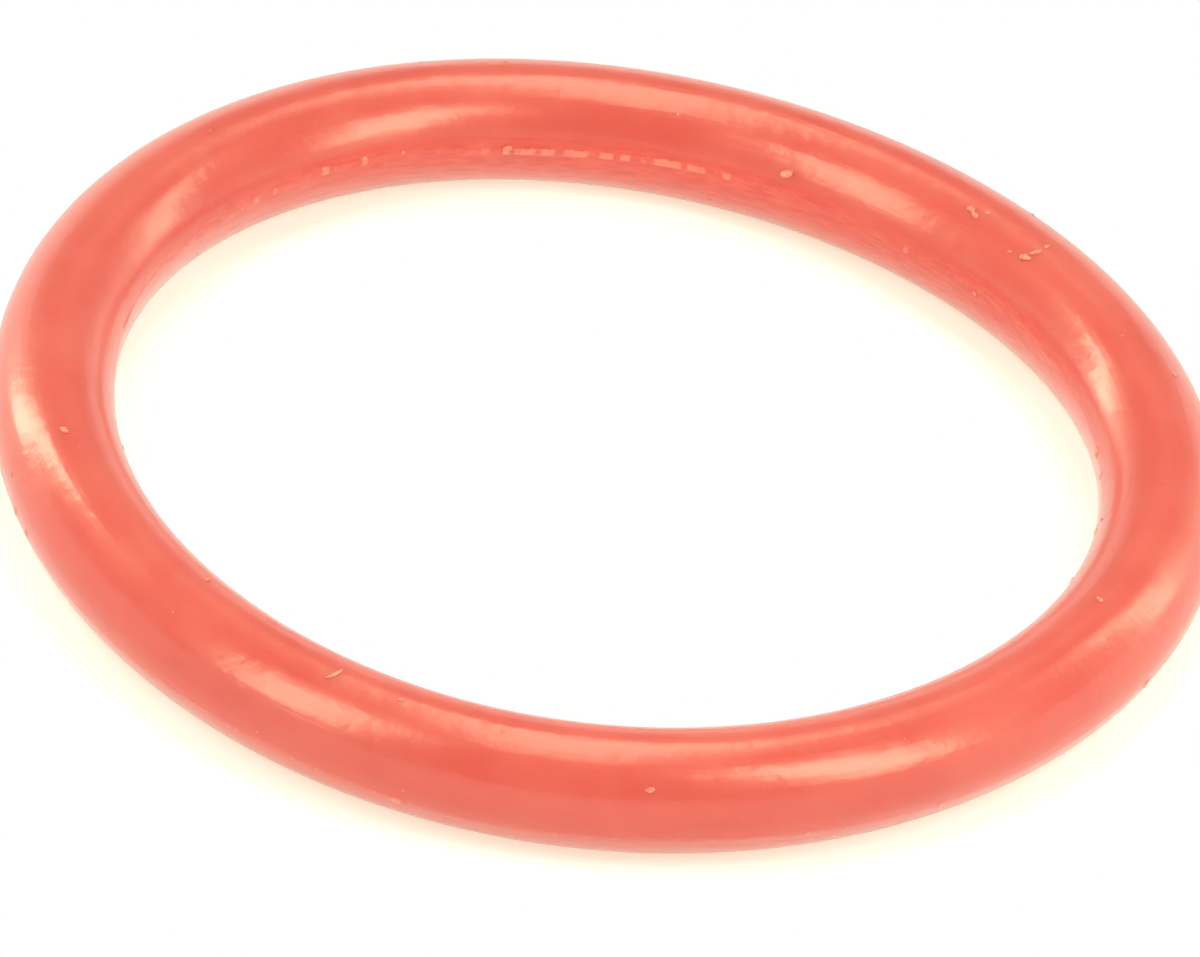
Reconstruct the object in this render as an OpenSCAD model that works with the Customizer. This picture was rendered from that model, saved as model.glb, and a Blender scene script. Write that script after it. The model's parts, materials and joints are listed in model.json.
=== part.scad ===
// Silicone O-ring: a round section carried round a circle, moulded in two halves
// that meet on the ring's mid-plane. Sizes are in millimetres. The ring lies flat on
// the plane z = 0, with the vertical axis through its centre.

/* [Ring] */
// Inside diameter of the round section, with the ring free and unstretched
inside_d = 32; // [16:0.5:80]
// Diameter of the round section
section_d = 4; // [2:0.1:7]

/* [Parting line] */
// How far the trimmed flash stands out of the round section
flash_h = 0.05; // [0.02:0.01:0.1]
// Width of the flash along its crest
flash_crest_w = 0.12; // [0.06:0.01:0.2]
// Width of the flash where its sides run into the round section
flash_root_w = 0.3; // [0.22:0.01:0.5]

/* [Hidden] */

silicone_red = [0.96, 0.42, 0.36];

// Facets of the previews: round the ring, and round its section
ring_facets = 240;
section_facets = 96;

section_r = section_d / 2;
// Radius of the circle that the section's centre follows
centreline_r = inside_d / 2 + section_r;
// Depth below the section's widest point that covers the roots of the flash
root_depth = section_r - sqrt(pow(section_r, 2) - pow(flash_root_w, 2) / 4);

// Outline of the two ridges of flash, one to each side of the section's centre. A
// ridge has a flat crest, parallel to the ring's axis, and two sides that slope down
// into the round section. The middle lies inside the section.
module flash_outline() {
    crest_x = section_r + flash_h;
    // Twice the depth puts each root a little under the surface of the section
    root_x = section_r - 2 * root_depth;
    polygon([
        [crest_x, -flash_crest_w / 2],
        [crest_x, flash_crest_w / 2],
        [root_x, flash_root_w / 2],
        [-root_x, flash_root_w / 2],
        [-crest_x, flash_crest_w / 2],
        [-crest_x, -flash_crest_w / 2],
        [-root_x, -flash_root_w / 2],
        [root_x, -flash_root_w / 2]
    ]);
}

// The moulded section: round, with the parting line on its inside and its outside
module section() {
    circle(d = section_d, $fn = section_facets);
    flash_outline();
}

// The whole ring, one moulding with no join
module o_ring() {
    color(silicone_red)
        rotate_extrude($fn = ring_facets)
            translate([centreline_r, section_r])
                section();
}

o_ring();
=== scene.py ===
import json
import logging
import math
from dataclasses import dataclass
from enum import Enum

import bpy
import numpy as np
from mathutils import Matrix, Vector


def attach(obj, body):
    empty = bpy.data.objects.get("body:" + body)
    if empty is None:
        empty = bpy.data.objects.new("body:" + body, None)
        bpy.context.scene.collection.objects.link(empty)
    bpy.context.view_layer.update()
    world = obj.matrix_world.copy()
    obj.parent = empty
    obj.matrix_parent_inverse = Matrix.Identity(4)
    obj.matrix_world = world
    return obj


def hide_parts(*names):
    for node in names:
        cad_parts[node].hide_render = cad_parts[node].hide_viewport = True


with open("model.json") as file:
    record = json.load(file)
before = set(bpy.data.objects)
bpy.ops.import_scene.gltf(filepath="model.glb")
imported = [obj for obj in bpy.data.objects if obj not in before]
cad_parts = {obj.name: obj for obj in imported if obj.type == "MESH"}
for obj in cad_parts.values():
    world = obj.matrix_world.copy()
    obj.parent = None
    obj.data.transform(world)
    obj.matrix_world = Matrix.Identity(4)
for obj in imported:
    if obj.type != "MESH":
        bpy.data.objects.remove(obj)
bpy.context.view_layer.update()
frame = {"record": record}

MM = 0.001
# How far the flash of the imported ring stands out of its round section
FLASH_H = 0.05 * MM
LOG = logging.getLogger("o_ring")

Colour = tuple[float, float, float, float]
PLAIN_WHITE: Colour = (1.0, 1.0, 1.0, 1.0)


class Node(str, Enum):
    """Nodes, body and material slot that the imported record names."""

    RING = "o_ring"
    BODY = "root"
    SLOT = "silicone"


class Mount(str, Enum):
    """Mounts of the record that give the crests of the parting line."""

    INSIDE = "shaft_contact"
    OUTSIDE = "housing_contact"


class Layer(str, Enum):
    """Attributes of the ring's mesh that its finish reads."""

    SECTION = "section_place"
    FLASH = "flash_share"
    WRAP = "ring_wrap"


@dataclass(frozen=True)
class Grid:
    """A surface as a grid of points over two parameters, closed both ways."""

    points: np.ndarray

    @property
    def columns(self) -> int:
        """Points along the first parameter."""
        return self.points.shape[0]

    @property
    def rows(self) -> int:
        """Points along the second parameter."""
        return self.points.shape[1]

    def quads(self) -> np.ndarray:
        """Corner indices of each face.

        A face joins point (i, j) with its neighbours (i + 1, j), (i + 1, j + 1) and
        (i, j + 1), counted round and round, which turns it outwards when the first
        parameter crossed with the second points out of the solid.

        Returns:
            An array of whole numbers, faces by four.
        """
        i, j = np.meshgrid(np.arange(self.columns), np.arange(self.rows), indexing="ij")
        after_i = (i + 1) % self.columns
        after_j = (j + 1) % self.rows
        corners = (i * self.rows + j, after_i * self.rows + j,
                   after_i * self.rows + after_j, i * self.rows + after_j)
        return np.stack(corners, axis=-1).reshape(-1, 4)

    def wrap(self) -> np.ndarray:
        """Texture place of each face corner, from 0 to 1 both ways with no fold at the seam.

        Returns:
            An array of faces times four by two.
        """
        i, j = np.meshgrid(np.arange(self.columns), np.arange(self.rows), indexing="ij")
        corners = ((i, j), (i + 1, j), (i + 1, j + 1), (i, j + 1))
        places = [np.stack((a / self.columns, b / self.rows), axis=-1) for a, b in corners]
        return np.stack(places, axis=2).reshape(-1, 2)


def mesh_object(name: str, points: np.ndarray, faces: np.ndarray) -> bpy.types.Object:
    """Puts points and faces of one corner count into a smooth mesh at the origin.

    Args:
        name: The piece's name.
        points: Places of the points, any shape whose last axis is x, y, z.
        faces: Corner indices, faces by corners.

    Returns:
        The new object, linked to the scene.
    """
    mesh = bpy.data.meshes.new(name)
    places = points.reshape(-1, 3)
    count, corners = faces.shape
    mesh.vertices.add(len(places))
    mesh.vertices.foreach_set("co", places.astype(np.float32).ravel())
    mesh.loops.add(count * corners)
    mesh.loops.foreach_set("vertex_index", faces.astype(np.int32).ravel())
    mesh.polygons.add(count)
    mesh.polygons.foreach_set("loop_start", np.arange(count, dtype=np.int32) * corners)
    mesh.polygons.foreach_set("use_smooth", np.ones(count, dtype=bool))
    mesh.update(calc_edges=True)
    mesh.validate()
    piece = bpy.data.objects.new(name, mesh)
    bpy.context.scene.collection.objects.link(piece)
    return piece


def ring_waves(angle: np.ndarray, lowest: int, highest: int, seed: int) -> np.ndarray:
    """A smooth uneven line that closes on itself.

    It is the sum of cos(k angle + p) for each whole k from lowest to highest, with the
    phases p drawn from the seed, divided by its own spread.

    Args:
        angle: Angles in radians.
        lowest: Fewest waves in a turn.
        highest: Most waves in a turn.
        seed: Seed of the phases.

    Returns:
        Values of mean 0 and spread 1, one for each angle.
    """
    draw = np.random.default_rng(seed)
    waves = np.arange(lowest, highest + 1)
    phases = draw.uniform(0, 2 * math.pi, len(waves))
    total = np.cos(np.outer(angle, waves) + phases).sum(axis=1)
    return (total - total.mean()) / total.std()


def ramp(value: np.ndarray, low: float, high: float) -> np.ndarray:
    """Eased step from 0 at low to 1 at high: 3 t squared minus 2 t cubed.

    Args:
        value: Values to ease.
        low: Where the step starts.
        high: Where it ends.

    Returns:
        Values from 0 to 1.
    """
    t = np.clip((value - low) / (high - low), 0, 1)
    return t * t * (3 - 2 * t)


def turned_from(middle: float, angle: np.ndarray) -> np.ndarray:
    """Smallest turn, in radians, between a middle in degrees and each angle in radians."""
    return np.abs(np.angle(np.exp(1j * (angle - math.radians(middle)))))


@dataclass(frozen=True)
class Lobe:
    """One wave of a shape that repeats a whole number of times in a turn."""

    count: int
    size: float
    crest: float

    def along(self, angle: np.ndarray) -> np.ndarray:
        """The wave size times cos(count (angle - crest)), for angles in radians."""
        return self.size * np.cos(self.count * (angle - math.radians(self.crest)))

    def slope(self, angle: np.ndarray) -> np.ndarray:
        """Change of the wave with the angle, for angles in radians."""
        return -self.count * self.size * np.sin(self.count * (angle - math.radians(self.crest)))


@dataclass(frozen=True)
class CentreLine:
    """The line that the section's centre follows: a circle that a soft ring leaves a little.

    Its radius at an angle is the circle's radius plus the lobes.
    """

    radius: float
    height: float
    lobes: tuple[Lobe, ...] = (Lobe(3, 0.177 * MM, 15.1), Lobe(4, 0.024 * MM, 13.5))

    def frame_at(self, angle: np.ndarray) -> tuple[np.ndarray, np.ndarray]:
        """Places on the line and the directions out of the ring, square to the line.

        With radius R and its slope S, the place is R times (cos, sin), the direction
        along the line is S (cos, sin) + R (-sin, cos), and the one out of the ring is
        that turned clockwise by a quarter.

        Args:
            angle: Angles round the ring, in radians.

        Returns:
            Two arrays of one x, y, z row for each angle.
        """
        radius = self.radius + sum(lobe.along(angle) for lobe in self.lobes)
        slope = sum(lobe.slope(angle) for lobe in self.lobes)
        c, s, level = np.cos(angle), np.sin(angle), np.full_like(angle, self.height)
        place = np.stack((radius * c, radius * s, level), axis=-1)
        out = np.stack((slope * s + radius * c, radius * s - slope * c, 0 * angle), axis=-1)
        return place, out / np.linalg.norm(out, axis=-1, keepdims=True)


@dataclass(frozen=True)
class Tag:
    """A torn end of flash that stands up from the parting line.

    Going out from its middle, it starts to slope down at full_share of its length, and
    has come down to nothing at end_share.
    """

    turn: float
    length: float
    height: float
    full_share: float = 0.3
    end_share: float = 0.6

    def along(self, angle: np.ndarray, radius: float) -> np.ndarray:
        """Height of the tag along the ring.

        Args:
            angle: Angles round the ring, in radians.
            radius: Radius of the circle that the flash runs along.

        Returns:
            Heights, one for each angle.
        """
        away = turned_from(self.turn, angle) * radius
        return self.height * (1 - ramp(away, self.full_share * self.length, self.end_share * self.length))


@dataclass(frozen=True)
class PartingLine:
    """Trimmed flash along the inside or the outside of the ring.

    Its height along the ring is a faint unbroken line plus torn stretches, where an
    uneven line passes a threshold, plus a few single tags.
    """

    side: float
    seed: int
    tags: tuple[Tag, ...] = ()
    full_height: float = FLASH_H
    faint_share: float = 0.16
    torn_from: float = 1.6
    torn_to: float = 2.6
    crest_w: float = 0.14 * MM
    root_w: float = 0.34 * MM
    fewest_tears: int = 24
    most_tears: int = 150

    def height(self, angle: np.ndarray, radius: float) -> np.ndarray:
        """Height of the flash along the ring.

        Args:
            angle: Angles round the ring, in radians.
            radius: Radius of the circle that the flash runs along.

        Returns:
            Heights, one for each angle.
        """
        uneven = ring_waves(angle, self.fewest_tears, self.most_tears, self.seed)
        share = self.faint_share + (1 - self.faint_share) * ramp(uneven, self.torn_from, self.torn_to)
        height = self.full_height * share
        for tag in self.tags:
            height = np.maximum(height, tag.along(angle, radius))
        return height

    def across(self, section_angle: np.ndarray, section_r: float) -> np.ndarray:
        """Share of the height across the line: 1 on the crest, sloping to 0 at the root.

        Args:
            section_angle: Angles round the section, in radians.
            section_r: Radius of the section.

        Returns:
            Shares from 0 to 1.
        """
        away = turned_from(self.side, section_angle) * section_r
        return 1 - ramp(away, self.crest_w / 2, self.root_w / 2)


@dataclass
class MouldedRing:
    """The ring's skin: a round section carried along the centre-line, with its parting lines.

    The section is turned a little about its own centre as the soft ring lies, so that
    the parting line wanders above and below the middle.
    """

    section_r: float
    centre_line: CentreLine
    inside: PartingLine
    outside: PartingLine
    lie: tuple[Lobe, ...] = (Lobe(1, 5.0, 275.0), Lobe(8, 2.2, 82.0))
    mean_lie: float = 11.5
    columns: int = 1350
    wide_rows: int = 40
    ridge_rows: int = 16
    ridge_reach: float = 6.5
    unevenness: float = 0.006 * MM
    uneven_waves: int = 40
    uneven_round: int = 34
    uneven_across: int = 3
    uneven_seed: int = 11

    def turns(self) -> np.ndarray:
        """Angles round the ring, in radians."""
        return np.linspace(0, 2 * math.pi, self.columns, endpoint=False)

    def rows(self) -> np.ndarray:
        """Angles round the moulded section, in radians, closer together on the two parting lines.

        Returns:
            Rising angles from the lower root of the outside line round to itself.
        """
        reach = self.ridge_reach
        ridge = np.linspace(-reach, reach, self.ridge_rows)
        wide = np.linspace(reach, 180 - reach, self.wide_rows // 2 + 2)[1:-1]
        return np.radians(np.concatenate((ridge, wide, ridge + 180, wide + 180)))

    def dips(self, turn: np.ndarray, row: np.ndarray) -> np.ndarray:
        """Shallow unevenness of the skin, never above the true section.

        It is a sum of waves cos(k turn + m row + p), k and m whole numbers and p a phase,
        all drawn from the seed, scaled to run from 0 down to minus the unevenness.

        Args:
            turn: Angles round the ring as a column.
            row: Angles round the section as a row.

        Returns:
            Depths over the grid, 0 or less.
        """
        draw = np.random.default_rng(self.uneven_seed)
        total = np.zeros((turn.size, row.size))
        for _ in range(self.uneven_waves):
            k = draw.integers(-self.uneven_round, self.uneven_round + 1)
            m = draw.integers(-self.uneven_across, self.uneven_across + 1)
            total += np.cos(k * turn + m * row + draw.uniform(0, 2 * math.pi))
        return -self.unevenness * (total - total.min()) / (total.max() - total.min())

    def surface(self, turn: np.ndarray, row: np.ndarray) -> tuple[np.ndarray, np.ndarray, np.ndarray]:
        """The skin over a grid of angles.

        A point lies at the centre-line's place plus rho (cos w times the way out, sin w
        times up). rho is the section's radius plus the flash and the dips, and w is the
        row's angle less the lie of the section there.

        Args:
            turn: Angles round the ring, in radians.
            row: Angles round the moulded section, in radians.

        Returns:
            Places, places within the section as (rho cos row, rho sin row, 0), and the
            share of flash from 0 to 1.
        """
        place, out = self.centre_line.frame_at(turn)
        flash = np.zeros((turn.size, row.size))
        for line, sign in ((self.inside, -1), (self.outside, 1)):
            radius = self.centre_line.radius + sign * self.section_r
            flash += np.outer(line.height(turn, radius), line.across(row, self.section_r))
        share = np.clip(flash / self.inside.full_height, 0, 1)
        rho = self.section_r + flash + self.dips(turn[:, None], row[None, :]) * (1 - share)
        lie = np.radians(self.mean_lie + sum(lobe.along(turn) for lobe in self.lie))
        w = row[None, :] - lie[:, None]
        points = place[:, None, :] + (rho * np.cos(w))[..., None] * out[:, None, :]
        points[..., 2] += rho * np.sin(w)
        in_section = np.stack((rho * np.cos(row), rho * np.sin(row), 0 * rho), axis=-1)
        return points, in_section, share

    def build(self) -> bpy.types.Object:
        """Makes the ring's mesh with the attributes that its finish reads.

        Returns:
            The ring as one piece.
        """
        points, in_section, share = self.surface(self.turns(), self.rows())
        grid = Grid(points)
        piece = mesh_object("moulded_ring", grid.points, grid.quads())
        mesh = piece.data
        place = mesh.attributes.new(Layer.SECTION.value, "FLOAT_VECTOR", "POINT")
        place.data.foreach_set("vector", in_section.astype(np.float32).ravel())
        flash = mesh.attributes.new(Layer.FLASH.value, "FLOAT", "POINT")
        flash.data.foreach_set("value", share.astype(np.float32).ravel())
        wrap = mesh.uv_layers.new(name=Layer.WRAP.value)
        wrap.data.foreach_set("uv", grid.wrap().astype(np.float32).ravel())
        return piece

    def on_skin(self, turn: np.ndarray, level: np.ndarray) -> tuple[np.ndarray, np.ndarray]:
        """Points of the plain skin and their own axes.

        Args:
            turn: Angles round the ring, in degrees.
            level: Angles round the section as it lies, in degrees.

        Returns:
            Places, and for each the three directions along the ring, across it and out.
        """
        a, w = np.radians(turn), np.radians(level)
        place, side = self.centre_line.frame_at(a)
        up = np.array((0.0, 0.0, 1.0))
        out = np.cos(w)[:, None] * side + np.sin(w)[:, None] * up
        along = np.cross(up, side)
        across = np.cross(out, along)
        return place + self.section_r * out, np.stack((along, across, out), axis=1)


@dataclass(frozen=True)
class Speck:
    """A grain or a short fibre stuck to the skin, by its place and its size.

    turn is the angle round the ring and level the one round the section as it lies.
    heading is the turn of its length away from the ring's own direction.
    """

    turn: float
    level: float
    length: float
    width: float
    heading: float = 0.0
    bend: float = 0.0


@dataclass
class SurfaceDust:
    """Grains and lint on the ring: those that show, and a thin scatter of finer ones.

    A grain is a sphere stretched to its length, width and height, with a few waves on
    its surface, and sunk a little into the skin. A fibre is a long grain bent into a bow.
    """

    ring: MouldedRing
    specks: tuple[Speck, ...]
    scattered: int = 90
    least_length: float = 0.03 * MM
    added_length: float = 0.09 * MM
    rarity: int = 3
    levels: tuple[float, float] = (-60, 240)
    slimness: tuple[float, float] = (0.5, 0.9)
    seed: int = 5
    rings: int = 8
    sides: int = 10
    flatness: float = 0.42
    sunk_share: float = 0.30
    lump: float = 0.52
    lumps: int = 5
    lump_waves: float = 2.2

    def scatter(self) -> list[Speck]:
        """Fine grains at random places, fewer the larger they are.

        A length is the least one plus the added one times a draw from 0 to 1 raised to
        the rarity.

        Returns:
            The grains' places and sizes.
        """
        draw = np.random.default_rng(self.seed)
        found = []
        for _ in range(self.scattered):
            length = self.least_length + self.added_length * draw.random() ** self.rarity
            found.append(Speck(draw.uniform(0, 360), draw.uniform(*self.levels), length,
                               length * draw.uniform(*self.slimness), draw.uniform(0, 180)))
        return found

    def unit_grain(self) -> tuple[np.ndarray, np.ndarray]:
        """A sphere of radius 1 with one point at each pole.

        Returns:
            Places, and faces of three corners.
        """
        polar = np.linspace(0, math.pi, self.rings + 1)[1:-1]
        about = np.linspace(0, 2 * math.pi, self.sides, endpoint=False)
        p, r = np.meshgrid(polar, about, indexing="ij")
        body = np.stack((np.cos(p), np.sin(p) * np.cos(r), np.sin(p) * np.sin(r)), axis=-1)
        points = np.concatenate((body.reshape(-1, 3), [(1, 0, 0), (-1, 0, 0)]))
        last = len(points)
        i, j = np.meshgrid(np.arange(self.rings - 2), np.arange(self.sides), indexing="ij")
        a, b = i * self.sides + j, i * self.sides + (j + 1) % self.sides
        c, d = a + self.sides, b + self.sides
        walls = np.concatenate((np.stack((a, c, d), -1).reshape(-1, 3),
                                np.stack((a, d, b), -1).reshape(-1, 3)))
        k = np.arange(self.sides)
        after = (k + 1) % self.sides
        foot = (self.rings - 2) * self.sides
        first_cap = np.stack((np.full_like(k, last - 2), k, after), -1)
        last_cap = np.stack((np.full_like(k, last - 1), foot + after, foot + k), -1)
        return points, np.concatenate((walls, first_cap, last_cap))

    def swell(self, unit: np.ndarray, count: int) -> np.ndarray:
        """How far each grain's surface swells: 1 plus lump times the mean of a few waves.

        A wave is cos(place . direction + phase), with directions and phases drawn from
        the seed.

        Args:
            unit: Places on the sphere of radius 1.
            count: How many grains there are.

        Returns:
            An array of grains by points.
        """
        draw = np.random.default_rng(self.seed + 1)
        waves = draw.normal(0, self.lump_waves, (count, self.lumps, 3))
        phases = draw.uniform(0, 2 * math.pi, (count, 1, self.lumps))
        across = np.einsum("vk,gwk->gvw", unit, waves)
        return 1 + self.lump * np.cos(across + phases).mean(axis=-1)

    def build(self) -> bpy.types.Object:
        """Makes every grain in one mesh.

        In its own axes a grain is the swollen sphere times half its length, width and
        height. It is bowed sideways by the bend times the square of x over half its
        length, less a half, raised so that only the sunk share is under the skin, turned
        to its heading, and set on the skin.

        Returns:
            The dust as one piece.
        """
        specks = [*self.specks, *self.scatter()]
        unit, faces = self.unit_grain()
        turn, level, length, width, heading, bend = (
            np.array([getattr(speck, key) for speck in specks])
            for key in ("turn", "level", "length", "width", "heading", "bend"))
        half = np.stack((length, width, width * self.flatness), axis=-1)[:, None, :] / 2
        local = unit[None] * self.swell(unit, len(specks))[..., None] * half
        x = local[..., 0]
        y = local[..., 1] + bend[:, None] * ((x / half[..., 0]) ** 2 - 0.5)
        z = local[..., 2] + half[..., 2] * (1 - 2 * self.sunk_share)
        c = np.cos(np.radians(heading))[:, None]
        s = np.sin(np.radians(heading))[:, None]
        turned = np.stack((c * x - s * y, s * x + c * y, z), axis=-1)
        place, axes = self.ring.on_skin(turn, level)
        points = place[:, None, :] + np.einsum("gvk,gkx->gvx", turned, axes)
        offsets = (np.arange(len(specks)) * len(unit))[:, None, None]
        return mesh_object("surface_dust", points, (faces[None] + offsets).reshape(-1, 3))


@dataclass(frozen=True)
class Noise:
    """A noise: the size of its marks, and how many finer layers it has and how strong each is."""

    size: float
    layers: float = 2.0
    finer: float = 0.6


@dataclass(frozen=True)
class DrawnNoise:
    """A noise stretched along the ring: its marks' width and length, and its finer layers."""

    width: float
    length: float
    layers: float = 2.0
    finer: float = 0.55


@dataclass
class NodeSheet:
    """Short calls for the nodes and links of one material, or of the world."""

    owner: bpy.types.Material | bpy.types.World

    @classmethod
    def empty(cls, name: str) -> "NodeSheet":
        """A new material with no nodes in it.

        Args:
            name: The material's name.

        Returns:
            The sheet of the new material.
        """
        material = bpy.data.materials.new(name)
        material.use_nodes = True
        material.node_tree.nodes.clear()
        return cls(material)

    def node(self, kind: str, settings: dict | None = None, inputs: dict | None = None) -> bpy.types.Node:
        """Adds a node.

        Args:
            kind: The node's type.
            settings: Values of its own properties.
            inputs: For each input, by name or number, a value or an output to link.

        Returns:
            The node.
        """
        new = self.owner.node_tree.nodes.new(kind)
        for key, value in (settings or {}).items():
            setattr(new, key, value)
        for key, value in (inputs or {}).items():
            socket = new.inputs[key]
            if isinstance(value, bpy.types.NodeSocket):
                self.owner.node_tree.links.new(value, socket)
            else:
                socket.default_value = value
        return new

    def attribute(self, layer: Layer, kind: str) -> bpy.types.NodeSocket:
        """Reads one of the mesh's attributes, as the output called Fac or the one called Vector."""
        return self.node("ShaderNodeAttribute", {"attribute_name": layer.value}).outputs[kind]

    def math(self, operation: str, first: object, second: object) -> bpy.types.NodeSocket:
        """One sum, product or the like of two values or outputs."""
        return self.node("ShaderNodeMath", {"operation": operation}, {0: first, 1: second}).outputs[0]

    def between(self, value: bpy.types.NodeSocket, low: float, high: float,
                to_low: float = 0.0, to_high: float = 1.0) -> bpy.types.NodeSocket:
        """Moves a value from one range to another, and keeps it there.

        Args:
            value: The output to read.
            low: Start of the range that it comes from.
            high: End of that range.
            to_low: Value given at the start.
            to_high: Value given at the end.

        Returns:
            The output of the moved value.
        """
        inputs = {"Value": value, "From Min": low, "From Max": high, "To Min": to_low, "To Max": to_high}
        return self.node("ShaderNodeMapRange", {"clamp": True}, inputs).outputs["Result"]

    def mixed(self, share: object, first: object, second: object) -> bpy.types.NodeSocket:
        """Blends two colours.

        The Mix node has an A and a B for every kind of value. Those for colours are its
        inputs 6 and 7, and the blended colour is its output 2.

        Args:
            share: How much of the second, from 0 to 1, as a value or an output.
            first: Colour at 0.
            second: Colour at 1.

        Returns:
            The output of the blend.
        """
        inputs = {0: share, 6: first, 7: second}
        return self.node("ShaderNodeMix", {"data_type": "RGBA"}, inputs).outputs[2]

    def noise(self, place: bpy.types.NodeSocket, noise: Noise) -> bpy.types.NodeSocket:
        """A noise in space.

        Args:
            place: The output of the place to read it at.
            noise: Its size and layers.

        Returns:
            The output of the noise, around 0.5.
        """
        return self.node("ShaderNodeTexNoise", inputs={
            "Vector": place, "Scale": 1 / noise.size, "Detail": noise.layers,
            "Roughness": noise.finer}).outputs["Fac"]

    def bump(self, height: bpy.types.NodeSocket, depth: float, strength: object = 1.0,
             under: bpy.types.NodeSocket | None = None) -> bpy.types.NodeSocket:
        """Raises and sinks the skin.

        Args:
            height: The output of the height, from 0 to 1.
            depth: What a height of 1 stands for, in metres.
            strength: How much of it shows, from 0 to 1, as a value or an output.
            under: Surface direction of the relief under it, if there is one.

        Returns:
            The output of the surface's direction.
        """
        inputs = {"Strength": strength, "Distance": depth, "Height": height}
        if under is not None:
            inputs["Normal"] = under
        return self.node("ShaderNodeBump", inputs=inputs).outputs["Normal"]

    def output(self, surface: bpy.types.NodeSocket) -> bpy.types.Material:
        """Ends the material with its surface."""
        self.node("ShaderNodeOutputMaterial", inputs={"Surface": surface})
        return self.owner


@dataclass(frozen=True)
class SiliconeFinish:
    """Red translucent silicone with the satin skin of a polished mould.

    Light enters and spreads inside, red the furthest. The skin carries fine drawn lines
    along the ring, a faint grain, cloudier patches, and paler, drier flash.
    """

    name: str = "red_silicone"
    body_colour: Colour = (0.75, 0.118, 0.100, 1.0)
    cloud_colour: Colour = (0.775, 0.146, 0.122, 1.0)
    flash_colour: Colour = (0.92, 0.29, 0.225, 1.0)
    scuff_dark: Colour = (0.79, 0.096, 0.074, 1.0)
    scuff_pale: Colour = (0.90, 0.180, 0.138, 1.0)
    light_reach: tuple[float, float, float] = (1.6, 0.40, 0.26)
    reach_unit: float = 1.0 * MM
    smooth: float = 0.32
    cloudy: float = 0.42
    dry: float = 0.6
    skin_share: float = 1.0
    skin_roughness: float = 0.22
    skin_index: float = 1.6
    index: float = 1.5
    cloud_noise: Noise = Noise(3.0 * MM, 3.0, 0.5)
    cloud_range: tuple[float, float] = (0.36, 0.64)
    tear_noise: Noise = Noise(0.22 * MM)
    tear_range: tuple[float, float] = (0.3, 0.7)
    tear_reach: float = 0.25
    torn_range: tuple[float, float] = (0.25, 0.75)
    scuff_above: tuple[float, float] = (0.1 * MM, 0.6 * MM)
    scuff_below: tuple[float, float] = (-1.2 * MM, -1.9 * MM)
    scuff_side: float = 0.5 * MM
    scuff_outside: float = 0.4
    scuff_share: float = 0.6
    scuff_noise: DrawnNoise = DrawnNoise(0.14 * MM, 0.7 * MM)
    scuff_range: tuple[float, float] = (0.35, 0.65)
    scuff_depth: float = 0.009 * MM
    line_noise: DrawnNoise = DrawnNoise(0.17 * MM, 4.0 * MM)
    line_depth: float = 0.010 * MM
    peel_noise: Noise = Noise(0.75 * MM)
    peel_depth: float = 0.024 * MM
    grain_noise: Noise = Noise(0.10 * MM)
    grain_depth: float = 0.0036 * MM

    def build(self) -> bpy.types.Material:
        """Makes the material.

        Returns:
            The finished material.
        """
        sheet = NodeSheet.empty(self.name)
        place = sheet.node("ShaderNodeTexCoord").outputs["Object"]
        flash = sheet.attribute(Layer.FLASH, "Fac")
        section = sheet.attribute(Layer.SECTION, "Vector")
        clouds = sheet.between(sheet.noise(place, self.cloud_noise), *self.cloud_range)
        clean = sheet.mixed(clouds, self.body_colour, self.cloud_colour)
        scuffed = self.scuffed(sheet, section)
        scuffs = self.drawn(sheet, place, section, self.scuff_noise)
        shades = sheet.mixed(sheet.between(scuffs, *self.scuff_range), self.scuff_dark, self.scuff_pale)
        plain = sheet.mixed(sheet.math("MULTIPLY", scuffed, self.scuff_share), clean, shades)
        pale = self.torn(sheet, place, flash)
        colour = sheet.mixed(pale, plain, self.flash_colour)
        satin = sheet.between(clouds, 0, 1, self.smooth, self.cloudy)
        rough = sheet.math("MAXIMUM", satin, sheet.math("MULTIPLY", pale, self.dry))
        relief = self.relief(sheet, place, section, scuffed, scuffs)
        shader = sheet.node("ShaderNodeBsdfPrincipled", {"subsurface_method": "RANDOM_WALK"}, {
            "Base Color": colour,
            "Roughness": rough,
            "IOR": self.index,
            "Subsurface Weight": 1.0,
            "Subsurface Radius": self.light_reach,
            "Subsurface Scale": self.reach_unit,
            "Coat Weight": self.skin_share,
            "Coat Roughness": self.skin_roughness,
            "Coat IOR": self.skin_index,
            "Normal": relief,
            "Coat Normal": relief,
        })
        return sheet.output(shader.outputs["BSDF"])

    def torn(self, sheet: NodeSheet, place: bpy.types.NodeSocket,
             flash: bpy.types.NodeSocket) -> bpy.types.NodeSocket:
        """Where the flash is torn and pale: its share, made ragged by a fine noise.

        Args:
            sheet: The material's sheet.
            place: Object coordinates.
            flash: Share of flash, from 0 to 1.

        Returns:
            The output of the paleness, from 0 to 1.
        """
        noise = sheet.noise(place, self.tear_noise)
        ragged = sheet.between(noise, *self.tear_range, -self.tear_reach, self.tear_reach)
        return sheet.between(sheet.math("ADD", flash, ragged), *self.torn_range)

    def scuffed(self, sheet: NodeSheet, section: bpy.types.NodeSocket) -> bpy.types.NodeSocket:
        """How far the trimming of the flash has scuffed the skin: most below the inside line.

        Args:
            sheet: The material's sheet.
            section: Place in the moulded section.

        Returns:
            The output of the share, from 0 to 1.
        """
        within = sheet.node("ShaderNodeSeparateXYZ", inputs={0: section}).outputs
        above = sheet.between(within[1], *self.scuff_above, 1.0, 0.0)
        below = sheet.between(within[1], *self.scuff_below, 1.0, 0.0)
        side = sheet.between(within[0], 0.0, self.scuff_side, 1.0, self.scuff_outside)
        return sheet.math("MULTIPLY", sheet.math("MULTIPLY", above, below), side)

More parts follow.
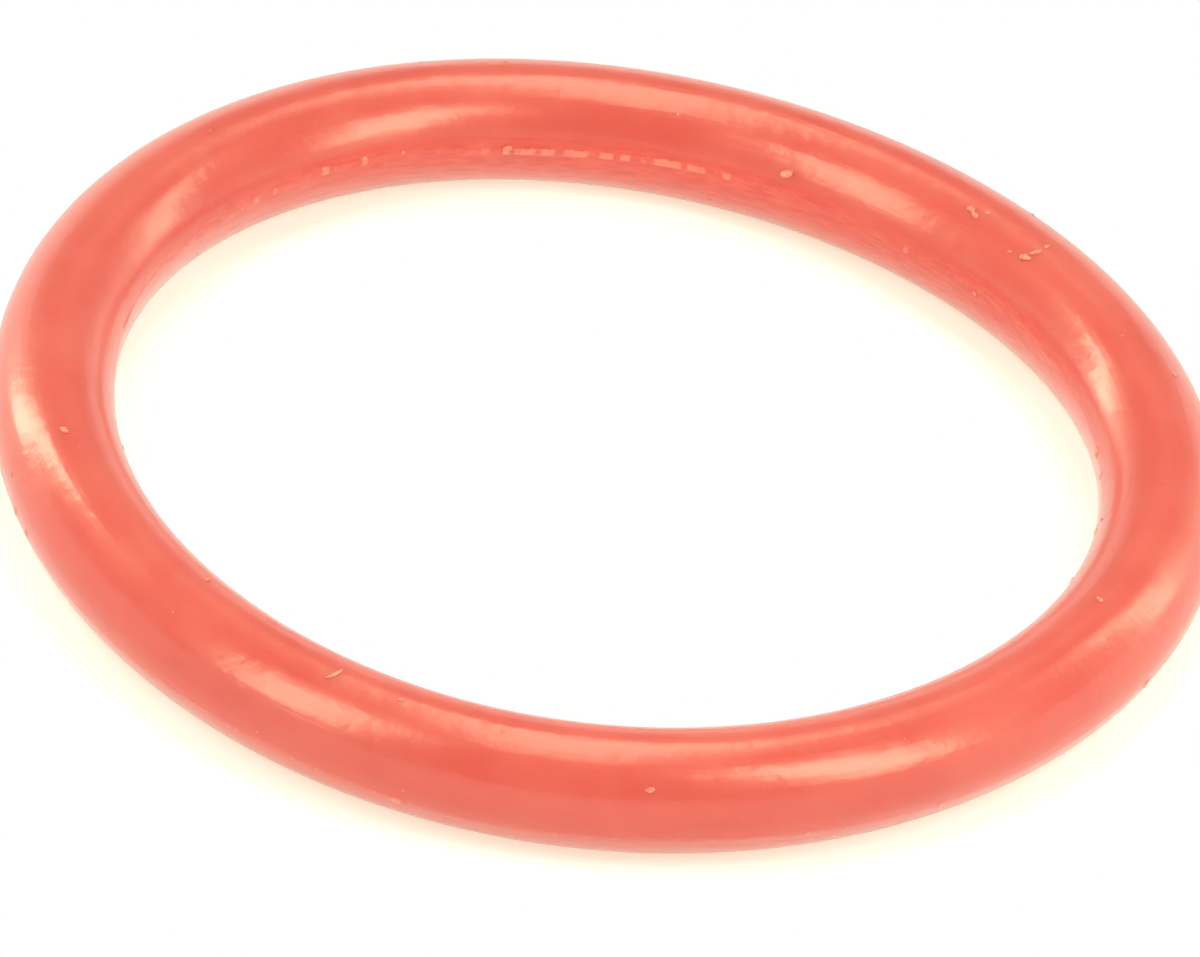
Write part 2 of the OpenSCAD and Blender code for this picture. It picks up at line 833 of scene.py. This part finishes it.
    def drawn(self, sheet: NodeSheet, place: bpy.types.NodeSocket, section: bpy.types.NodeSocket,
              noise: DrawnNoise) -> bpy.types.NodeSocket:
        """A noise stretched along the ring.

        It is a noise in four dimensions: fine in the two of the section, and slow in
        the ring's x and y, so that its marks run along the ring and close on it.

        Args:
            sheet: The material's sheet.
            place: Object coordinates.
            section: Place in the moulded section.
            noise: The marks' sizes and layers.

        Returns:
            The output of the noise, around 0.5.
        """
        within = sheet.node("ShaderNodeSeparateXYZ", inputs={0: section}).outputs
        whole = sheet.node("ShaderNodeSeparateXYZ", inputs={0: place}).outputs
        fine = [sheet.math("DIVIDE", within[axis], noise.width) for axis in (0, 1)]
        slow = [sheet.math("DIVIDE", whole[axis], noise.length) for axis in (0, 1)]
        where = sheet.node("ShaderNodeCombineXYZ", inputs={0: fine[0], 1: fine[1], 2: slow[0]}).outputs[0]
        return sheet.node("ShaderNodeTexNoise", {"noise_dimensions": "4D"}, {
            "Vector": where, "W": slow[1], "Scale": 1.0, "Detail": noise.layers,
            "Roughness": noise.finer}).outputs["Fac"]

    def relief(self, sheet: NodeSheet, place: bpy.types.NodeSocket, section: bpy.types.NodeSocket,
               scuffed: bpy.types.NodeSocket, scuffs: bpy.types.NodeSocket) -> bpy.types.NodeSocket:
        """Drawn lines along the ring, the scuffs, a shallow orange peel, then a fine grain.

        Args:
            sheet: The material's sheet.
            place: Object coordinates.
            section: Place in the moulded section.
            scuffed: How far the skin is scuffed, from 0 to 1.
            scuffs: Noise of the scuffs.

        Returns:
            The output of the surface's direction.
        """
        drawn = sheet.bump(self.drawn(sheet, place, section, self.line_noise), self.line_depth)
        rubbed = sheet.bump(scuffs, self.scuff_depth, scuffed, drawn)
        peeled = sheet.bump(sheet.noise(place, self.peel_noise), self.peel_depth, under=rubbed)
        return sheet.bump(sheet.noise(place, self.grain_noise), self.grain_depth, under=peeled)


@dataclass(frozen=True)
class DustFinish:
    """Pale, dry grains and lint with a painted pink glow, which stands in for the red light of the ring
    that they lie on.
    """

    name: str = "pale_dust"
    # Pale tones with a painted pink glow for the red light off the ring under them
    light: Colour = (0.95, 0.40, 0.345, 1.0)
    dark: Colour = (0.89, 0.24, 0.20, 1.0)
    patch_noise: Noise = Noise(0.12 * MM, 1.0, 0.5)
    patch_range: tuple[float, float] = (0.4, 0.6)
    roughness: float = 0.6

    def build(self) -> bpy.types.Material:
        """Makes the material.

        Returns:
            The finished material.
        """
        sheet = NodeSheet.empty(self.name)
        place = sheet.node("ShaderNodeTexCoord").outputs["Object"]
        share = sheet.between(sheet.noise(place, self.patch_noise), *self.patch_range)
        colour = sheet.mixed(share, self.dark, self.light)
        shader = sheet.node("ShaderNodeBsdfPrincipled", inputs={
            "Base Color": colour, "Roughness": self.roughness})
        return sheet.output(shader.outputs["BSDF"])


@dataclass(frozen=True)
class TableFinish:
    """White table that keeps a soft shadow.

    What the camera and the gloss see is part an even glow, tinted warm, and part lit
    table, tinted cool. Together they are white in full light and cream in the ring's
    shadow, which is a painted warm glow there, standing in for the red light through the
    ring. It turns to plain white away from the ring's centre-line, which cuts the shadow
    short. The light that it throws back is a plain white table's.
    """

    ring_radius: float

    name: str = "white_table"
    # Painted light: this warm even glow and the cool lit part add up to white in full light, but leave
    # the shadow cream, for the red light through the ring
    painted_cream_glow: Colour = (0.84, 0.60, 0.44, 1.0)
    lit_white: Colour = (0.25, 0.74, 0.98, 1.0)
    true_white: Colour = (0.95, 0.95, 0.95, 1.0)
    warm_white: Colour = (1.0, 0.94, 0.80, 1.0)
    near: float = 2.1 * MM
    far: float = 3.4 * MM

    def build(self) -> bpy.types.Material:
        """Makes the material.

        Returns:
            The finished material.
        """
        sheet = NodeSheet.empty(self.name)
        place = sheet.node("ShaderNodeTexCoord").outputs["Object"]
        radius = sheet.node("ShaderNodeVectorMath", {"operation": "LENGTH"}, {0: place}).outputs["Value"]
        away = sheet.math("ABSOLUTE", sheet.math("SUBTRACT", radius, self.ring_radius), 0.0)
        # Painted light: between near and far from the centre-line, the shadow gives way to plain white
        distant = sheet.between(away, self.near, self.far)
        even = sheet.node("ShaderNodeEmission", inputs={"Color": self.painted_cream_glow}).outputs[0]
        lit = sheet.node("ShaderNodeBsdfDiffuse", inputs={"Color": self.lit_white}).outputs[0]
        close = sheet.node("ShaderNodeAddShader", inputs={0: even, 1: lit}).outputs[0]
        camera = sheet.node("ShaderNodeLightPath").outputs["Is Camera Ray"]
        white = sheet.mixed(camera, self.warm_white, PLAIN_WHITE)
        plain = sheet.node("ShaderNodeEmission", inputs={"Color": white, "Strength": 1.0}).outputs[0]
        seen = sheet.node("ShaderNodeMixShader", inputs={0: distant, 1: close, 2: plain}).outputs[0]
        true = sheet.node("ShaderNodeBsdfDiffuse", inputs={"Color": self.true_white}).outputs[0]
        return sheet.output(sheet.node("ShaderNodeMixShader", inputs={
            0: seen_directly(sheet), 1: true, 2: seen}).outputs[0])


def seen_directly(sheet: NodeSheet) -> bpy.types.NodeSocket:
    """1 for a ray of the camera, of a mirror's gloss or through glass, and 0 for all others.

    Args:
        sheet: The material or world sheet to add the nodes to.

    Returns:
        The output that holds the 1 or 0.
    """
    path = sheet.node("ShaderNodeLightPath").outputs
    either = sheet.math("MAXIMUM", path["Is Camera Ray"], path["Is Glossy Ray"])
    return sheet.math("MAXIMUM", either, path["Is Transmission Ray"])


@dataclass(frozen=True)
class Softbox:
    """A square-cornered lamp that faces the ring.

    bearing is the angle from the camera's side, towards +X, and rise the angle above
    the table. spread and reach are the angles that it fills, across and up, as seen
    from the ring. glow is its brightness, where 1 is white: its power is the glow times
    pi times its area. spin turns it about the line to the ring.
    """

    name: str
    bearing: float
    rise: float
    spread: float
    reach: float
    glow: float
    distance: float
    spin: float = 0.0
    colour: tuple[float, float, float] = (1.0, 0.91, 0.61)

    def hang(self) -> bpy.types.Object:
        """Makes the lamp, hidden from the camera itself.

        Returns:
            The lamp's object.
        """
        a = math.radians(self.bearing)
        e = math.radians(self.rise)
        towards = Vector((math.sin(a) * math.cos(e), -math.cos(a) * math.cos(e), math.sin(e)))
        lamp = bpy.data.lights.new(self.name, "AREA")
        lamp.shape = "RECTANGLE"
        lamp.size = 2 * self.distance * math.tan(math.radians(self.spread / 2))
        lamp.size_y = 2 * self.distance * math.tan(math.radians(self.reach / 2))
        lamp.energy = self.glow * math.pi * lamp.size * lamp.size_y
        lamp.color = self.colour
        holder = bpy.data.objects.new(self.name, lamp)
        holder.rotation_mode = "QUATERNION"
        spin = Matrix.Rotation(math.radians(self.spin), 3, "Z").to_quaternion()
        holder.rotation_quaternion = towards.to_track_quat("Z", "Y") @ spin
        holder.location = towards * self.distance
        holder.visible_camera = False
        bpy.context.scene.collection.objects.link(holder)
        return holder


@dataclass(frozen=True)
class DimCeiling:
    """A round sheet high above the table, dimmer than the room's walls and hidden from the camera."""

    colour: Colour
    name: str = "dim_ceiling"
    glow: float = 0.31
    radius: float = 1.9
    height: float = 0.50
    sides: int = 64

    def hang(self) -> bpy.types.Object:
        """Makes the sheet, one flat face whose corners lie evenly on a circle round the Z axis.

        Returns:
            The sheet's object.
        """
        turn = np.linspace(0, 2 * math.pi, self.sides, endpoint=False)
        level = np.full_like(turn, self.height)
        rim = np.stack((self.radius * np.cos(turn), self.radius * np.sin(turn), level), axis=-1)
        ceiling = mesh_object(self.name, rim, np.arange(self.sides)[None, :])
        sheet = NodeSheet.empty(self.name)
        light = sheet.node("ShaderNodeEmission", inputs={"Color": self.colour, "Strength": self.glow})
        ceiling.data.materials.append(sheet.output(light.outputs[0]))
        ceiling.visible_camera = False
        return ceiling


@dataclass(frozen=True)
class PhotoCamera:
    """Long-lens camera that looks down on the ring and leans a little to one side."""

    elevation: float = 36.15
    lean: float = 8.66
    distance: float = 0.72
    nearest: float = 0.0072
    farthest: float = 7.2
    lens_mm: float = 670.0
    sensor_mm: float = 36.0
    look_at: tuple[float, float, float] = (0.067 * MM, -1.665 * MM, 2.0 * MM)

    def place(self) -> bpy.types.Object:
        """Makes the camera and gives it to the scene.

        It stands at the distance from the point that it looks at, on the -Y side, at the
        elevation above the ring's plane. Its own right is the level right turned up by
        the lean.

        Returns:
            The camera's object.
        """
        e = math.radians(self.elevation)
        lean = math.radians(self.lean)
        back = Vector((0, -math.cos(e), math.sin(e)))
        level_right = Vector((1, 0, 0))
        level_up = back.cross(level_right)
        right = math.cos(lean) * level_right + math.sin(lean) * level_up
        up = back.cross(right)
        data = bpy.data.cameras.new("camera")
        data.lens = self.lens_mm
        data.sensor_width = self.sensor_mm
        data.clip_start = self.nearest
        data.clip_end = self.farthest
        camera = bpy.data.objects.new("camera", data)
        turn = Matrix((right, up, back)).transposed().to_4x4()
        camera.matrix_world = Matrix.Translation(Vector(self.look_at) + back * self.distance) @ turn
        bpy.context.scene.collection.objects.link(camera)
        bpy.context.scene.camera = camera
        return camera


@dataclass
class Studio:
    """The white table, the white room with its dim ceiling, five soft lamps and the camera."""

    table: TableFinish
    camera: PhotoCamera = PhotoCamera()
    table_half: float = 3.0
    wall_light: float = 0.90
    room_tint: Colour = (1.0, 0.945, 0.82, 1.0)
    # Name, then bearing, rise, spread, reach, glow, distance and spin
    lamps: tuple[Softbox, ...] = (
        Softbox("front_left_lamp", -53.5, 43.5, 20, 42, 4.8, 0.22, 10),
        Softbox("front_right_lamp", 62, 42, 20, 38, 5.7, 0.15, 6),
        Softbox("overhead_lamp", 176.5, 73.5, 13, 50, 3.8, 0.30),
        Softbox("back_left_lamp", -125.5, 21.5, 6, 38, 11.8, 0.24, 8),
        Softbox("back_right_lamp", 126, 27, 4, 36, 10.4, 0.30, -22),
    )

    def build(self) -> None:
        """Makes everything round the ring and sets the colour handling."""
        half = self.table_half
        corners = np.array([(-half, -half, 0), (half, -half, 0), (half, half, 0), (-half, half, 0)])
        table = mesh_object("table", corners, np.array([(0, 1, 2, 3)]))
        table.data.materials.append(self.table.build())
        for lamp in self.lamps:
            lamp.hang()
        DimCeiling(self.room_tint).hang()
        self.room()
        self.camera.place()
        bpy.context.scene.view_settings.view_transform = "Standard"

    def room(self) -> None:
        """A world that is white to the camera, in gloss and through glass, and lights a little dimmer."""
        world = bpy.data.worlds.new("room")
        world.use_nodes = True
        world.node_tree.nodes.clear()
        bpy.context.scene.world = world
        sheet = NodeSheet(world)
        strength = sheet.math("MAXIMUM", seen_directly(sheet), self.wall_light)
        camera = sheet.node("ShaderNodeLightPath").outputs["Is Camera Ray"]
        tint = sheet.mixed(camera, self.room_tint, PLAIN_WHITE)
        light = sheet.node("ShaderNodeBackground", inputs={"Strength": strength, "Color": tint})
        sheet.node("ShaderNodeOutputWorld", inputs={"Surface": light.outputs[0]})


# The marks that the photograph shows on the far inside line: turn, length and height
SHOWN_TAGS = (
    Tag(12.3, 0.36 * MM, 0.07 * MM),
    Tag(171.2, 1.4 * MM, 0.03 * MM),
    Tag(109.0, 0.30 * MM, 0.032 * MM),
    Tag(106.4, 0.30 * MM, 0.050 * MM),
    Tag(103.9, 0.62 * MM, 0.038 * MM),
    Tag(101.5, 0.53 * MM, 0.038 * MM),
    Tag(98.2, 0.98 * MM, 0.040 * MM),
    Tag(94.5, 0.50 * MM, 0.044 * MM),
    Tag(92.3, 0.38 * MM, 0.042 * MM),
    Tag(87.3, 1.02 * MM, 0.050 * MM),
    Tag(83.9, 0.64 * MM, 0.044 * MM),
    Tag(80.2, 0.36 * MM, 0.034 * MM),
)


def mould_ring(record: dict) -> MouldedRing:
    """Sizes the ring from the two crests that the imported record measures.

    The crests stand out of the section by the flash height on each side, so the
    section's diameter is the difference of their radii less twice that height.

    Args:
        record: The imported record.

    Returns:
        The ring, not yet built.
    """
    crest_r = {mount["name"]: mount["dims"]["r_mm"] * MM for mount in record["mounts"] if mount["dims"]}
    inner = crest_r[Mount.INSIDE.value]
    outer = crest_r[Mount.OUTSIDE.value]
    section_r = (outer - inner) / 2 - FLASH_H
    inside = PartingLine(side=180, seed=3, tags=SHOWN_TAGS)
    outside = PartingLine(side=0, seed=8)
    centre_line = CentreLine((inner + outer) / 2, section_r)
    return MouldedRing(section_r, centre_line, inside, outside)


# The grains that the photograph shows: turn, level, length, width, heading and bend
SHOWN_SPECKS = (
    Speck(119.3, 169.5, 0.20 * MM, 0.12 * MM, 80),
    Speck(106.4, 174.0, 0.36 * MM, 0.28 * MM, 30),
    Speck(73.3, 152.5, 0.36 * MM, 0.28 * MM, 20),
    Speck(45.4, 174.5, 0.26 * MM, 0.12 * MM, 5),
    Speck(51.7, 107.6, 0.40 * MM, 0.24 * MM, 163),
    Speck(50.8, 110.4, 0.30 * MM, 0.18 * MM, 150),
    Speck(50.0, 100.5, 0.16 * MM, 0.12 * MM, 20),
    Speck(42.2, 115.6, 0.34 * MM, 0.25 * MM, 25),
    Speck(41.9, 104.0, 0.40 * MM, 0.17 * MM, 76),
    Speck(41.9, 91.5, 0.24 * MM, 0.14 * MM, 100),
    Speck(44.2, 120.5, 0.14 * MM, 0.10 * MM, 40),
    Speck(199.7, 81.0, 0.30 * MM, 0.22 * MM, 20),
    Speck(246.7, 82.5, 0.52 * MM, 0.16 * MM, 66, 0.03 * MM),
    Speck(279.0, 37.5, 0.30 * MM, 0.16 * MM, 10),
    Speck(337.5, 92.5, 0.28 * MM, 0.18 * MM, 60),
    Speck(19.2, 63.5, 0.24 * MM, 0.14 * MM, 40),
    Speck(227.5, 106.5, 0.26 * MM, 0.14 * MM, 100),
    Speck(236.0, 107.0, 0.18 * MM, 0.10 * MM, 130),
    Speck(253.9, 82.0, 0.20 * MM, 0.12 * MM, 30),
)


def dress(piece: bpy.types.Object, material: bpy.types.Material) -> None:
    """Gives a piece its finish and its body, and reports it.

    Args:
        piece: The finished piece.
        material: Its finish.
    """
    piece.data.materials.append(material)
    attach(piece, Node.BODY.value)
    LOG.info("%s: %d points, %d faces", piece.name, len(piece.data.vertices), len(piece.data.polygons))


def corners(box: tuple[Vector, Vector]) -> list[list[float]]:
    """A box's lowest and highest corner as plain lists of numbers."""
    return [[float(value) for value in corner] for corner in box]


def main() -> None:
    """Builds the studio, the ring and its dust."""
    logging.basicConfig(level=logging.INFO, format="%(name)s: %(message)s")
    ring = mould_ring(frame["record"])
    Studio(TableFinish(ring.centre_line.radius)).build()
    skin = ring.build()
    dress(skin, SiliconeFinish().build())
    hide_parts(Node.RING.value)
    dust = SurfaceDust(ring, SHOWN_SPECKS).build()
    dress(dust, DustFinish().build())


if __name__ == "__main__":
    main()
